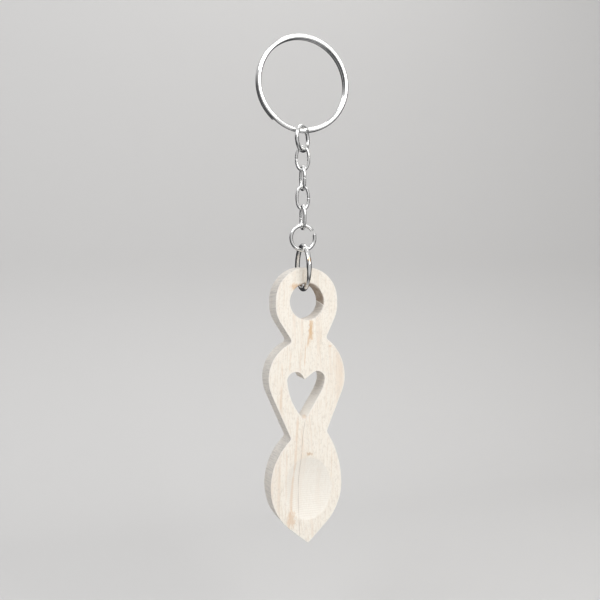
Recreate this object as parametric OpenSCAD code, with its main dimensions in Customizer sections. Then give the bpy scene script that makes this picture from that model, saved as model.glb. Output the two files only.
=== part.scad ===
// Wooden love-spoon charm on a key ring.
// Frame: X right, Y away from the front, Z up. The origin is where the key ring
// hangs on its peg: the inner top of the split ring, in the plane of the chain.
// The whole charm hangs straight down from there.

/* [Split ring] */
// Outside diameter of the split ring
ring_od = 25; // [18:0.5:36]
// Radial thickness of the split ring's wire
ring_wire = 1.2; // [0.9:0.05:1.8]
// Thickness of one turn of the split ring, front to back
ring_turn = 1.0; // [0.7:0.05:1.4]
// Slit between the two turns
ring_slit = 0.04; // [0.02:0.01:0.1]
// Length of the crossing from the front turn to the back turn, in degrees
ring_crossing = 42; // [32:1:60]
// How far the crossing runs on past the bottom of the ring, in degrees
ring_crossing_end = 4; // [3:0.5:8]

/* [Top jump ring] */
// Outside diameter of the jump ring under the split ring
top_jump_od = 7.3; // [6:0.1:9]
// Wire diameter of that jump ring
top_jump_wire = 1.0; // [0.8:0.05:1.2]
// Turn of the jump ring about the vertical, 0 is edge-on to the front
top_jump_turn = 46; // [38:1:48]

/* [Chain] */
// Outside length of an oval link
link_length = 6.65; // [5.6:0.05:8.2]
// Outside width of an oval link
link_width = 3.95; // [3.8:0.05:4.9]
// Wire diameter of an oval link
link_wire = 0.75; // [0.6:0.05:0.8]
// Turn of the first oval link about the vertical, the others hang square
first_link_turn = -66; // [-72:1:-62]

/* [Lower jump ring] */
// Outside diameter of the jump ring under the chain
lower_jump_od = 7.4; // [6.2:0.1:9]
// Wire diameter of that jump ring
lower_jump_wire = 0.9; // [0.75:0.05:1.1]
// Gap between the ends of that jump ring
lower_jump_gap = 1.0; // [0.6:0.1:1.4]
// Place of the gap, in degrees up from the right-hand side
lower_jump_gap_at = 27; // [15:1:45]

/* [Bail ring] */
// Outside diameter of the large ring through the spoon
bail_od = 12.6; // [11.8:0.1:15.2]
// Wire diameter of the large ring
bail_wire = 1.3; // [1.0:0.05:1.5]
// Turn of the large ring about the vertical, 0 is edge-on to the front
bail_turn = 3.5; // [0:0.5:12]

/* [Spoon blank] */
// Thickness of the wood
wood = 6; // [4.8:0.1:7.2]
// Height of wood above the hanging hole
crown = 4.3; // [3.5:0.1:4.6]
// Diameter of the hanging hole
hole_d = 9.2; // [8.8:0.1:11]
// Rounding worn into the rims of the hole
hole_ease = 0.45; // [0.3:0.05:0.6]

/* [Spoon outline] */
// Half width of the top lobe
top_half = 8.45; // [7.6:0.05:9.5]
// How much longer than round the top lobe is
top_stretch = 1.4; // [0.6:0.1:2.4]
// Height from the hole's middle down to the upper waist
upper_waist_drop = 9.7; // [9.2:0.1:12]
// Half width of the upper waist, left side then right side
upper_waist_half = [4.4, 5.5];
// How much lower the left notch was sawn than the right one
upper_waist_skew = 0.7; // [0:0.1:1.2]
// Height from the upper waist down to the middle lobe's widest place
mid_drop = 10.1; // [8.4:0.1:12.2]
// Half width of the middle lobe
mid_half = 10.55; // [8.8:0.05:12.7]
// Radius of the middle lobe's curve below its widest place
mid_r = 10.4; // [8.6:0.1:12]
// Height from the middle lobe's widest place down to the lower waist
lower_waist_drop = 15; // [14.4:0.1:18]
// How much lower the left notch was sawn than the right one
lower_waist_skew = 1.3; // [0:0.1:2]
// Half width of the lower waist, left side then right side
lower_waist_half = [4.7, 5.5];
// Height from the lower waist down to the bowl lobe's widest place
bowl_drop = 13.4; // [11.1:0.1:16.1]
// Half width of the bowl lobe, left side then right side
bowl_half = [10.2, 9.5];
// Radius of the bowl lobe's curve below its widest place
cheek_r = 14.5; // [12:0.1:15.2]
// Height from the bowl lobe's widest place down to the tip
tip_drop = 15.2; // [12.6:0.1:18.4]
// Radius of the rounding in the sawn notches
notch_r = 0.9; // [0.5:0.05:1.2]

/* [Heart] */
// Width of the heart
heart_w = 10.4; // [8.6:0.1:12.5]
// Height of the heart from its lobes to its tip
heart_h = 12.3; // [10.3:0.1:13.4]
// Height of the heart's lobes above the middle lobe's widest place
heart_rise = 1.6; // [1:0.1:2.6]

/* [Bowl] */
// Length of the carved bowl, up and down
dish_l = 16.6; // [13.8:0.1:20]
// Width of the carved bowl
dish_w = 13; // [10.8:0.1:15.6]
// Depth of the carved bowl
dish_depth = 1.4; // [1:0.1:2]
// How far the bowl's middle lies under the bowl lobe's widest place
dish_sink = 0.8; // [0:0.1:1.6]

/* [Fits] */
// Running gap between pieces that hang in each other
hang_gap = 0.06; // [0.04:0.01:0.12]

/* [Hidden] */
nickel = "lightgray";
sycamore = "burlywood";
// Cuts run this far past the faces they open
past = 1;
// Sides of a round sweep and of a round wire
ROUND = 96;
WIRE_ROUND = 48;

// Split ring
ring_r = (ring_od - ring_wire) / 2;
ring_mid_z = ring_wire - ring_od / 2;
turn_pitch = ring_turn + ring_slit;
// The crossing lies at this share of its climb where the chain hangs on it
hang_share = (ring_crossing - ring_crossing_end) / ring_crossing;
// The chain hangs at Y 0, so the turns stand forward of it
front_turn_y = -turn_pitch * hang_share;
back_turn_y = front_turn_y + turn_pitch;
crossing_slope = asin(turn_pitch / (2 * ring_r * sin(ring_crossing / 2)));
// The crossing is drawn thinner by this all round, so its ends lie inside the turns
crossing_ease = 0.05;
crossing_mid = -90 + ring_crossing_end - ring_crossing / 2;

// The hanging pieces from the top: outside length, wire and turn about the vertical
LINKS = [
    [top_jump_od, top_jump_wire, top_jump_turn],
    [link_length, link_wire, first_link_turn],
    [link_length, link_wire, 0],
    [link_length, link_wire, 90],
    [link_length, link_wire, 0],
    [lower_jump_od, lower_jump_wire, 90],
    [bail_od, bail_wire, bail_turn]];

// Height of the middle of a piece's top wire and of its bottom wire
function top_z(i) =
    i == 0
        ? ring_mid_z - ring_r + ring_wire / 2 + hang_gap + LINKS[0][1] / 2
        : bottom_z(i - 1) + (LINKS[i - 1][1] + LINKS[i][1]) / 2 + hang_gap;
function bottom_z(i) = top_z(i) - LINKS[i][0] + LINKS[i][1];
function middle_z(i) = (top_z(i) + bottom_z(i)) / 2;

// The hole's eased rims ride on the inside of the bail ring
bail_r_in = bail_od / 2 - bail_wire;
rim_y = wood / 2 - hole_ease;
hole_top_z = middle_z(6) - sqrt(pow(bail_r_in, 2) - pow(rim_y, 2)) + hang_gap;
hole_z = hole_top_z - hole_d / 2;

// Signed turn from one direction to another, between -180 and 180
function wrap(a) = a - 360 * round(a / 360);

// Outward direction where a band leaves circle a for circle b. A circle is
// [x, z, radius], with a negative radius where the band runs round its far side.
function leave(a, b) =
    let (d = norm([b[0] - a[0], b[1] - a[1]]))
    atan2(b[1] - a[1], b[0] - a[0]) + acos(min(1, max(-1, (a[2] - b[2]) / d)));

// Step of an arc that strays no more than this from its circle
outline_fineness = 0.01;
function arc_step(r) = r < 4 * outline_fineness ? 90 : 2 * acos(1 - outline_fineness / r);

// Points of the arc on circle c from direction a0 to a1
function arc(c, a0, a1) =
    let (turn = wrap(a1 - a0),
         steps = ceil(abs(turn) / arc_step(abs(c[2]))))
    c[2] == 0
        ? [[c[0], c[1]]]
        : [for (i = [0:steps])
            let (a = a0 + turn * i / max(steps, 1))
            [c[0] + c[2] * cos(a), c[1] + c[2] * sin(a)]];

// Points of an open band round the circles, from direction first to direction last
function band(circles, first, last) =
    let (n = len(circles))
    [for (i = [0:n - 1])
        let (a0 = i == 0 ? first : leave(circles[i - 1], circles[i]),
             a1 = i == n - 1 ? last : leave(circles[i], circles[i + 1]))
        each arc(circles[i], a0, a1)];

// Heights on the spoon, from the hole's middle
upper_waist_z = -upper_waist_drop;
mid_z = upper_waist_z - mid_drop;
lower_waist_z = mid_z - lower_waist_drop;
bowl_z = lower_waist_z - bowl_drop;
tip_z = bowl_z - tip_drop;
heart_z = mid_z + heart_rise;
dish_z = bowl_z - dish_sink;
tip_r = 0.4;
top_z_round = hole_d / 2 + crown - top_half;

// The notch circle on one side, at half width half and height z
function notch(half, z) = [half + notch_r, z, -notch_r];

// Circle that touches a notch from below and is widest at half width half, height z
function shoulder(notch_circle, half, z) =
    let (h = half - notch_circle[0],
         dz = notch_circle[1] - z,
         r = (h * h + dz * dz - notch_r * notch_r) / (2 * (h + notch_r)))
    [half - r, z, r];

// One side of the spoon's outline as if it were the right side, 0 left and 1 right
function side_circles(side) =
    let (upper = notch(upper_waist_half[side],
                       upper_waist_z + upper_waist_skew * (side - 0.5)),
         lower = notch(lower_waist_half[side],
                       lower_waist_z + lower_waist_skew * (side - 0.5)))
    [[0, top_z_round, top_half],
     [0, top_z_round - top_stretch, top_half],
     upper,
     shoulder(upper, mid_half, mid_z),
     [mid_half - mid_r, mid_z, mid_r],
     lower,
     shoulder(lower, bowl_half[side], bowl_z),
     [bowl_half[side] - cheek_r, bowl_z, cheek_r],
     [0, tip_z + tip_r, tip_r]];

function mirrored(points) = [for (i = [len(points) - 1:-1:0]) [-points[i][0], points[i][1]]];

// The heart's lobes and its long side curves, left then right
heart_lobe_r = [0.216, 0.193] * heart_w;
heart_side_r = [1.64, 0.75] * heart_w;
heart_edge = [-0.524, 0.458] * heart_w;
heart_cusp = [-0.06 * heart_w, heart_z - 0.16 * heart_h];
heart_tip_x = -0.071 * heart_w;
heart_tip_r = 0.45;
// Below the horizontal by this angle, a lobe runs on into its side
heart_blend = 5;

function heart_lobe(side) =
    let (r = heart_lobe_r[side], inward = side == 0 ? r : -r)
    [heart_edge[side] + inward, heart_z - r, r];

// Circle of a long side curve, touching its lobe from outside
function heart_side(side) =
    let (lobe = heart_lobe(side),
         reach = heart_side_r[side] - lobe[2],
         out = side == 0 ? 180 + heart_blend : -heart_blend)
    [lobe[0] - reach * cos(out), lobe[1] - reach * sin(out), heart_side_r[side]];

function heart_circles() = [
    [heart_cusp[0], heart_cusp[1], 0],
    heart_lobe(1),
    heart_side(1),
    [heart_tip_x, heart_z - heart_h + heart_tip_r, heart_tip_r],
    heart_side(0),
    heart_lobe(0),
    [heart_cusp[0], heart_cusp[1], 0]];

// Sweep of the ball cutter that leaves a dish of the stated length, width and depth
function cap_radius(chord, depth) = (pow(chord / 2, 2) + pow(depth, 2)) / (2 * depth);
dish_sweep_r = cap_radius(dish_l, dish_depth);
dish_cutter_r = cap_radius(dish_w, dish_depth);

// Wire of the split ring in section: round, with its turns rolled flat
module ring_section(ease = 0) {
    translate([ring_r, 0])
        intersection() {
            circle(d = ring_wire - 2 * ease, $fn = WIRE_ROUND);
            square([ring_wire + past, ring_turn - 2 * ease], center = true);
        }
}

// A stretch of one turn, from angle a over span degrees, in the plane at y
module ring_stretch(a, span, y) {
    translate([0, y, ring_mid_z])
        rotate([90, 0, 0])
            rotate([0, 0, a])
                rotate_extrude(angle = span, $fn = ROUND)
                    ring_section();
}

module split_ring() {
    turn_span = 360 - ring_crossing;
    // Degrees between a turn's free end and the crossing beside it
    end_room = 1.5;
    // Degrees that each end of the crossing runs on into a turn
    lap = 0.4;
    color(nickel) {
        // Back turn, from its end at the lower left round to the crossing
        ring_stretch(-90 + ring_crossing_end, turn_span - end_room, back_turn_y);
        // Front turn, from the crossing round to its end at the bottom
        ring_stretch(-90 + ring_crossing_end + end_room, turn_span - end_room, front_turn_y);
        // Crossing, a stretch tilted from one turn to the other
        translate([0, (front_turn_y + back_turn_y) / 2, ring_mid_z])
            rotate([90, 0, 0])
                rotate([0, 0, crossing_mid])
                    rotate([-crossing_slope, 0, 0])
                        rotate([0, 0, -ring_crossing / 2 - lap])
                            rotate_extrude(angle = ring_crossing + 2 * lap, $fn = ROUND)
                                ring_section(crossing_ease);
    }
}

// Stands a flat ring, drawn round the Z axis, upright and turned about the vertical
module hung(i) {
    translate([0, 0, middle_z(i)])
        rotate([0, 0, 90 - LINKS[i][2]])
            rotate([90, 0, 0])
                children();
}

// Round ring of outside diameter od, open over a gap at angle at
module wire_ring(od, wire, gap = 0, at = 0) {
    r = (od - wire) / 2;
    open = gap > 0 ? gap / r * 180 / PI : 0;
    rotate([0, 0, at + open / 2])
        rotate_extrude(angle = 360 - open, $fn = ROUND)
            translate([r, 0])
                circle(d = wire, $fn = WIRE_ROUND);
}

// Oval link: two half rings joined by straight legs
module oval_link() {
    r = (link_width - link_wire) / 2;
    leg = link_length - link_width;
    for (end = [0, 1])
        rotate([0, 0, 180 * end])
            translate([0, leg / 2, 0]) {
                rotate_extrude(angle = 180, $fn = ROUND)
                    translate([r, 0])
                        circle(d = link_wire, $fn = WIRE_ROUND);
                translate([r, 0, 0])
                    rotate([90, 0, 0])
                        cylinder(h = leg, d = link_wire, $fn = WIRE_ROUND);
            }
}

module top_jump_ring() {
    color(nickel)
        hung(0) wire_ring(top_jump_od, top_jump_wire);
}

module chain_link(i) {
    color(nickel)
        hung(i) oval_link();
}

module lower_jump_ring() {
    color(nickel)
        hung(5) wire_ring(lower_jump_od, lower_jump_wire, lower_jump_gap, lower_jump_gap_at);
}

module bail_ring() {
    color(nickel)
        hung(6) wire_ring(bail_od, bail_wire);
}

// Flat drawing of the spoon's outline, about the middle of the hole
module spoon_outline() {
    tip_turn = -90;
    polygon(concat(
        band(side_circles(1), 90, tip_turn),
        mirrored(band(side_circles(0), 90, tip_turn))));
}

module heart_outline() {
    polygon(band(heart_circles(), 90, 90));
}

// Raises a flat drawing to a slab of thickness t, centred on the plane Y 0
module slab(t) {
    rotate([90, 0, 0])
        translate([0, 0, -t / 2])
            linear_extrude(height = t)
                children();
}

module hanging_hole() {
    rotate([90, 0, 0])
        cylinder(h = wood + 2 * past, d = hole_d, center = true, $fn = ROUND);
    // Eased rims, front and back
    for (face = [-1, 1])
        rotate([90 * face, 0, 0])
            translate([0, 0, wood / 2 - hole_ease])
                cylinder(h = 2 * hole_ease, d1 = hole_d, d2 = hole_d + 4 * hole_ease, $fn = ROUND);
}

// The carved bowl, a dished cut in the front face
module dish() {
    translate([0, -wood / 2 + dish_depth - dish_sweep_r, dish_z])
        rotate([0, 90, 0])
            rotate_extrude($fn = ROUND)
                translate([dish_sweep_r - dish_cutter_r, 0])
                    intersection() {
                        circle(r = dish_cutter_r, $fn = ROUND);
                        translate([0, -dish_cutter_r])
                            square([dish_cutter_r, 2 * dish_cutter_r]);
                    }
}

module spoon() {
    color(sycamore)
        translate([0, 0, hole_z])
            difference() {
                slab(wood) spoon_outline();
                hanging_hole();
                slab(wood + 2 * past) heart_outline();
                dish();
            }
}

split_ring();
top_jump_ring();
chain_link(1);  // chain_link_1
chain_link(2);  // chain_link_2
chain_link(3);  // chain_link_3
chain_link(4);  // chain_link_4
lower_jump_ring();
bail_ring();
spoon();
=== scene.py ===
"""Looks of a carved wooden love spoon that hangs by a short chain from a split key ring.

Sizes are in millimetres, as a maker would write them, and are turned to metres
when a mesh is made. X is right, Y is away from the bowl side and Z is up. Places
come from the boxes of the solids that the pieces stand for.
"""

import logging
import math
from dataclasses import dataclass, field
from enum import Enum

import bpy
import numpy as np
from mathutils import Matrix, Vector, noise
from mathutils.geometry import delaunay_2d_cdt


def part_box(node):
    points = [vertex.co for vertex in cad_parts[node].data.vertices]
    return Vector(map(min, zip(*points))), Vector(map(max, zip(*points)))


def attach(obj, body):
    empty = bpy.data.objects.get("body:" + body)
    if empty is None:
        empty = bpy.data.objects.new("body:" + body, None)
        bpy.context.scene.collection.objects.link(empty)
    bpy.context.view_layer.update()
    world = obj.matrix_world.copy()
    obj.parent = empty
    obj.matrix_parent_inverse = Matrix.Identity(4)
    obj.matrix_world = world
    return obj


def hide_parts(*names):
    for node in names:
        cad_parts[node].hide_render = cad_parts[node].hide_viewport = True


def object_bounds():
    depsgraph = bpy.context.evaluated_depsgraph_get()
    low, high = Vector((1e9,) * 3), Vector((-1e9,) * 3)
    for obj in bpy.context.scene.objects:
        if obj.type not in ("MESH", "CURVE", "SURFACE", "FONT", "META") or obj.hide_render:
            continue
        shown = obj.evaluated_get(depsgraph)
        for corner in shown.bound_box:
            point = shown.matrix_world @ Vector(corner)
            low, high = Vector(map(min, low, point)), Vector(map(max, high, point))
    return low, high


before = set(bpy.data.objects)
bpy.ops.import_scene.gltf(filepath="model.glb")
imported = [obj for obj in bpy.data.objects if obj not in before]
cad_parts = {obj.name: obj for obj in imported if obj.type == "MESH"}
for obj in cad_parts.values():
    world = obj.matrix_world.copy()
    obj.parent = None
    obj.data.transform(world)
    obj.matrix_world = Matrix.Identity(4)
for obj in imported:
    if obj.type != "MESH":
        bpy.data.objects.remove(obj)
SOLID_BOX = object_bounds()

MM = 0.001
UPRIGHT = np.array([0.0, 0.0, 1.0])
LOG = logging.getLogger("love_spoon")

Circle = tuple[float, float, float]
Colour = tuple[float, float, float]
Socket = bpy.types.NodeSocket
Feed = Socket | float | tuple[float, ...]


# ---------------------------------------------------------------- shapes


class Side(Enum):
    """A side of the spoon's board, by the sign of its Y."""

    FRONT = -1
    BACK = 1


def wrap(angle: float) -> float:
    """Turns an angle in degrees into the range from -180 to 180."""
    return angle - 360 * math.floor(angle / 360 + 0.5)


def leave(a: Circle, b: Circle) -> float:
    """Finds where a band runs off one circle towards the next.

    Args:
        a: The circle that the band leaves, negative in radius if it runs round its far side.
        b: The circle that the band goes to.

    Returns:
        The outward direction on both circles, in degrees.
    """
    reach = math.hypot(b[0] - a[0], b[1] - a[1])
    lean = math.acos(max(-1.0, min(1.0, (a[2] - b[2]) / reach)))
    return math.degrees(math.atan2(b[1] - a[1], b[0] - a[0]) + lean)


def band(circles: list[Circle], first: float, last: float) -> np.ndarray:
    """Draws an open band round circles.

    Args:
        circles: The circles, in the order that the band meets them.
        first: Direction of the band's first point on the first circle, in degrees.
        last: Direction of its last point on the last circle.

    Returns:
        The band's points, close together, one row each.
    """
    rows: list[tuple[float, float]] = []
    for i, (x, z, r) in enumerate(circles):
        a0 = first if i == 0 else leave(circles[i - 1], circles[i])
        a1 = last if i == len(circles) - 1 else leave(circles[i], circles[i + 1])
        turn = wrap(a1 - a0)
        steps = max(1, math.ceil(abs(math.radians(turn) * r) / 0.04))
        for k in range(steps + 1):
            a = math.radians(a0 + turn * k / steps)
            rows.append((x + r * math.cos(a), z + r * math.sin(a)))
    return np.array(rows)


def run_along(points: np.ndarray) -> np.ndarray:
    """Gives the distance along a line to each of its points."""
    return np.concatenate([[0], np.cumsum(np.linalg.norm(np.diff(points, axis=0), axis=1))])


def even_loop(points: np.ndarray, spacing: float) -> np.ndarray:
    """Spaces the points of a closed loop evenly.

    Args:
        points: The loop's points, the first one kept in place.
        spacing: Distance wanted between neighbours.

    Returns:
        The new points, the first not repeated at the end.
    """
    closed = np.vstack([points, points[:1]])
    run = run_along(closed)
    count = max(12, round(run[-1] / spacing))
    at = np.linspace(0, run[-1], count, endpoint=False)
    return np.column_stack([np.interp(at, run, closed[:, i]) for i in (0, 1)])


def loop_area(points: np.ndarray) -> float:
    """Gives a loop's area, positive if it runs anticlockwise."""
    x, z = points.T
    return float((x * np.roll(z, -1) - np.roll(x, -1) * z).sum() / 2)


def loop_normals(points: np.ndarray, away: bool) -> np.ndarray:
    """Works out the normals along a closed loop.

    Args:
        points: The loop's points.
        away: True for normals that point out of the loop, False for into it.

    Returns:
        One unit normal for each point.
    """
    along = np.roll(points, -1, axis=0) - np.roll(points, 1, axis=0)
    normal = np.column_stack([along[:, 1], -along[:, 0]])
    normal /= np.linalg.norm(normal, axis=1)[:, None]
    return normal if (loop_area(points) > 0) == away else -normal


def inside(points: np.ndarray, loop: np.ndarray) -> np.ndarray:
    """Tells which points lie in a closed loop.

    Args:
        points: The points to test, one row each.
        loop: The loop's points.

    Returns:
        True for each point that lies in the loop.
    """
    result = np.zeros(len(points), bool)
    x0, z0 = loop.T
    x1, z1 = np.roll(loop, -1, axis=0).T
    for first in range(0, len(points), 4096):
        px, pz = points[first : first + 4096].T[:, :, None]
        spans = (z0 > pz) != (z1 > pz)
        rise = np.where(z1 == z0, 1e-12, z1 - z0)
        cross = px < (x1 - x0) * (pz - z0) / rise + x0
        result[first : first + 4096] = (spans & cross).sum(axis=1) % 2 == 1
    return result


def gap_to(points: np.ndarray, loop: np.ndarray) -> np.ndarray:
    """Measures from each point to the nearest point of a loop.

    Args:
        points: The points to measure from.
        loop: The loop's points, close together.

    Returns:
        One distance for each point.
    """
    result = np.empty(len(points))
    for first in range(0, len(points), 1024):
        part = points[first : first + 1024]
        away = part[:, None, :] - loop[None, :, :]
        result[first : first + 1024] = np.sqrt((away**2).sum(axis=2).min(axis=1))
    return result


def roughness_at(points: np.ndarray, scale: float, seed: float) -> np.ndarray:
    """Gives smooth noise between about -1 and 1 at points in space.

    Args:
        points: The points, three numbers each.
        scale: Size of the noise, in waves for each unit.
        seed: Offset that picks another stretch of the same noise.

    Returns:
        One value for each point.
    """
    shift = Vector((seed, -seed, 2 * seed))
    return np.array([noise.noise(Vector(p) * scale + shift) for p in points])


@dataclass
class Skin:
    """Vertices and faces of one piece, gathered before its mesh is made."""

    vertices: list[np.ndarray] = field(default_factory=list)
    faces: list[np.ndarray] = field(default_factory=list)
    marks: dict[str, list[np.ndarray]] = field(default_factory=dict)
    count: int = 0

    def add(self, vertices: np.ndarray, **marks: np.ndarray) -> int:
        """Adds vertices.

        Args:
            vertices: Their places in millimetres, one row each.
            **marks: A value for each vertex, by the name of its attribute.

        Returns:
            The number of the first one.
        """
        first = self.count
        self.vertices.append(vertices)
        for name, values in marks.items():
            self.marks.setdefault(name, []).append(values)
        self.count += len(vertices)
        return first

    def quads(self, rows: list[np.ndarray], closed: bool) -> None:
        """Joins rows of vertices with quads.

        Args:
            rows: Vertex numbers, each row as long as the others.
            closed: True if each row runs round to its own start.
        """
        for low, high in zip(rows, rows[1:]):
            a, b = (low, high) if closed else (low[:-1], high[:-1])
            a2 = np.roll(low, -1) if closed else low[1:]
            b2 = np.roll(high, -1) if closed else high[1:]
            self.faces.append(np.column_stack([a, a2, b2, b]))

    def mesh(self, name: str) -> bpy.types.Object:
        """Makes the piece's object.

        Args:
            name: The object's name.

        Returns:
            The object, smooth shaded and in the scene.
        """
        data = bpy.data.meshes.new(name)
        data.from_pydata(
            (np.vstack(self.vertices) * MM).tolist(),
            [],
            [row for part in self.faces for row in part.tolist()],
        )
        for mark, parts in self.marks.items():
            layer = data.attributes.new(mark, "FLOAT", "POINT")
            layer.data.foreach_set("value", np.concatenate(parts).astype(np.float32))
        data.validate()
        data.shade_smooth()
        piece = bpy.data.objects.new(name, data)
        bpy.context.scene.collection.objects.link(piece)
        return piece


def sweep(
    path: np.ndarray, out: np.ndarray, across: np.ndarray, section: np.ndarray, thin: np.ndarray
) -> Skin:
    """Sweeps a wire's section along its middle line and caps both ends.

    Args:
        path: Points of the middle line.
        out: Direction at each point that the section's first number runs in.
        across: Direction that its second number runs in.
        section: The section's points, anticlockwise as seen along the path.
        thin: Share of its full size that the section has at each point.

    Returns:
        The wire's skin.
    """
    skin = Skin()
    offset = (
        section[None, :, 0, None] * out[:, None, :]
        + section[None, :, 1, None] * across[:, None, :]
    )
    points = path[:, None, :] + offset * thin[:, None, None]
    first = skin.add(points.reshape(-1, 3))
    rows = list(first + np.arange(points.shape[0] * len(section)).reshape(-1, len(section)))
    skin.quads(rows, closed=True)
    for ring, end in ((rows[0], path[0]), (rows[-1][::-1], path[-1])):
        hub = skin.add(end[None, :])
        skin.faces.append(np.column_stack([np.roll(ring, -1), ring, np.full(len(ring), hub)]))
    return skin


def full_oval(angles: np.ndarray, half_width: float, half_height: float, power: float) -> np.ndarray:
    """Gives points of an oval, 2 in power for a plain one and more for fuller corners."""
    c, s = np.cos(angles), np.sin(angles)
    across = half_width * np.sign(c) * np.abs(c) ** (2 / power)
    return np.column_stack([across, half_height * np.sign(s) * np.abs(s) ** (2 / power)])


def round_section(width: float, thickness: float, power: float, count: int) -> np.ndarray:
    """Draws a wire's section.

    Args:
        width: Its size along the first number.
        thickness: Its size along the second.
        power: 2 for a plain oval, more for flatter sides with rounded corners.
        count: Number of points.

    Returns:
        The points, anticlockwise.
    """
    return full_oval(np.arange(count) * 2 * math.pi / count, width / 2, thickness / 2, power)


# ---------------------------------------------------------------- shader nodes


class Graph:
    """A short way to write the nodes of one material or group."""

    def __init__(self, tree: bpy.types.NodeTree) -> None:
        """Starts on an empty tree."""
        self.tree = tree
        self.tree.nodes.clear()

    def feed(self, socket: Socket, value: Feed) -> None:
        """Links an output to a socket, or sets the socket's own value."""
        if isinstance(value, bpy.types.NodeSocket):
            self.tree.links.new(value, socket)
        else:
            socket.default_value = value

    def node(
        self, kind: str, feeds: dict[str | int, Feed] | None = None, **settings: object
    ) -> bpy.types.Node:
        """Adds a node.

        Args:
            kind: The node's type name, without its common start.
            feeds: What goes into its inputs, by name or number.
            **settings: The node's own settings.

        Returns:
            The node.
        """
        made = self.tree.nodes.new("ShaderNode" + kind)
        for name, value in settings.items():
            setattr(made, name, value)
        for key, value in (feeds or {}).items():
            self.feed(made.inputs[key], value)
        return made

    def compute(self, operation: str, *values: Feed) -> Socket:
        """Adds a Math node and returns its output."""
        feeds = dict(enumerate(values))
        return self.node("Math", feeds, operation=operation).outputs[0]

    def plus(self, a: Feed, b: Feed) -> Socket:
        """Adds two values."""
        return self.compute("ADD", a, b)

    def minus(self, a: Feed, b: Feed) -> Socket:
        """Takes the second value from the first."""
        return self.compute("SUBTRACT", a, b)

    def times(self, a: Feed, b: Feed, more: Feed | None = None) -> Socket:
        """Multiplies two values, and adds a third if there is one."""
        return self.compute("MULTIPLY", a, b) if more is None else self.compute("MULTIPLY_ADD", a, b, more)

    def vector(self, operation: str, *values: Feed) -> Socket:
        """Adds a Vector Math node and returns its output."""
        made = self.node("VectorMath", dict(enumerate(values)), operation=operation)
        return made.outputs["Value" if operation == "LENGTH" else "Vector"]

    def scaled(self, place: Feed, factor: Feed) -> Socket:
        """Multiplies a place by one value."""
        return self.node("VectorMath", {0: place, "Scale": factor}, operation="SCALE").outputs[0]

    def step(self, value: Feed, low: float, high: float, a: Feed = 0.0, b: Feed = 1.0) -> Socket:
        """Maps a value smoothly from one range to another.

        Args:
            value: The value to map.
            low: Where the smooth step starts.
            high: Where it ends.
            a: Result at and before the start.
            b: Result at and after the end.

        Returns:
            The mapped value.
        """
        feeds = {"Value": value, "From Min": low, "From Max": high, "To Min": a, "To Max": b}
        return self.node("MapRange", feeds, interpolation_type="SMOOTHSTEP").outputs[0]

    def blend(self, share: Feed, a: Feed, b: Feed) -> Socket:
        """Mixes two colours.

        Args:
            share: Share of the second colour.
            a: The first colour.
            b: The second colour.

        Returns:
            The mixed colour.
        """
        made = self.node("Mix", data_type="RGBA")
        for socket, value in zip([made.inputs[0], made.inputs[6], made.inputs[7]], (share, a, b)):
            if isinstance(value, tuple) and len(value) == 3:
                value = (*value, 1.0)
            self.feed(socket, value)
        return made.outputs[2]

    def place(self) -> tuple[Socket, Socket, Socket, Socket]:
        """Reads the place on the object, in millimetres.

        Returns:
            The place, and its X, Y and Z.
        """
        at = self.node("TexCoord").outputs["Object"]
        grown = self.scaled(at, 1 / MM)
        parts = self.node("SeparateXYZ", {0: grown})
        return grown, *parts.outputs[:3]

    def speckle(
        self, place: Feed, scale: tuple[float, float, float], detail: float = 3.0, rough: float = 0.5
    ) -> Socket:
        """Adds noise with its own scale along each axis.

        Args:
            place: Where the noise is read.
            scale: Waves for each millimetre along X, Y and Z.
            detail: Number of finer layers.
            rough: Strength of the finer layers.

        Returns:
            The noise, about 0.5 in the middle.
        """
        at = self.vector("MULTIPLY", place, scale)
        feeds = {"Vector": at, "Scale": 1.0, "Detail": detail, "Roughness": rough}
        return self.node("TexNoise", feeds).outputs[0]


class EffectGroup:
    """A shader node group that materials share, each with its own values."""

    NAME = "effect"
    INPUTS: tuple[tuple[str, str, Feed], ...] = ()
    OUTPUTS: tuple[tuple[str, str], ...] = ()

    @classmethod
    def tree(cls) -> bpy.types.NodeTree:
        """Builds the group once and returns it from then on."""
        found = bpy.data.node_groups.get(cls.NAME)
        if found:
            return found
        tree = bpy.data.node_groups.new(cls.NAME, "ShaderNodeTree")
        graph = Graph(tree)
        for name, kind, value in cls.INPUTS:
            socket = tree.interface.new_socket(name, in_out="INPUT", socket_type=kind)
            socket.default_value = value
        for name, kind in cls.OUTPUTS:
            tree.interface.new_socket(name, in_out="OUTPUT", socket_type=kind)
        source = tree.nodes.new("NodeGroupInput")
        sink = tree.nodes.new("NodeGroupOutput")
        made = cls.fill(graph, {s.name: s for s in source.outputs if s.name})
        for name, value in made.items():
            graph.feed(sink.inputs[name], value)
        return tree

    @classmethod
    def fill(cls, graph: Graph, given: dict[str, Socket]) -> dict[str, Socket]:
        """Makes the group's nodes.

        Args:
            graph: The group's graph.
            given: The group's inputs, by name.

        Returns:
            What feeds each output, by name.
        """
        raise NotImplementedError

    @classmethod
    def use(cls, graph: Graph, **values: Feed) -> bpy.types.Node:
        """Places the group in a material.

        Args:
            graph: The material's graph.
            **values: Its own values, by input name with _ for a space.

        Returns:
            The group's node.
        """
        made = graph.tree.nodes.new("ShaderNodeGroup")
        made.node_tree = cls.tree()
        for name, value in values.items():
            graph.feed(made.inputs[name.replace("_", " ")], value)
        return made


VALUE, VECTOR = "NodeSocketFloat", "NodeSocketVector"
MARKS = ("sawn", "carved", "edge", "ridge")


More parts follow.
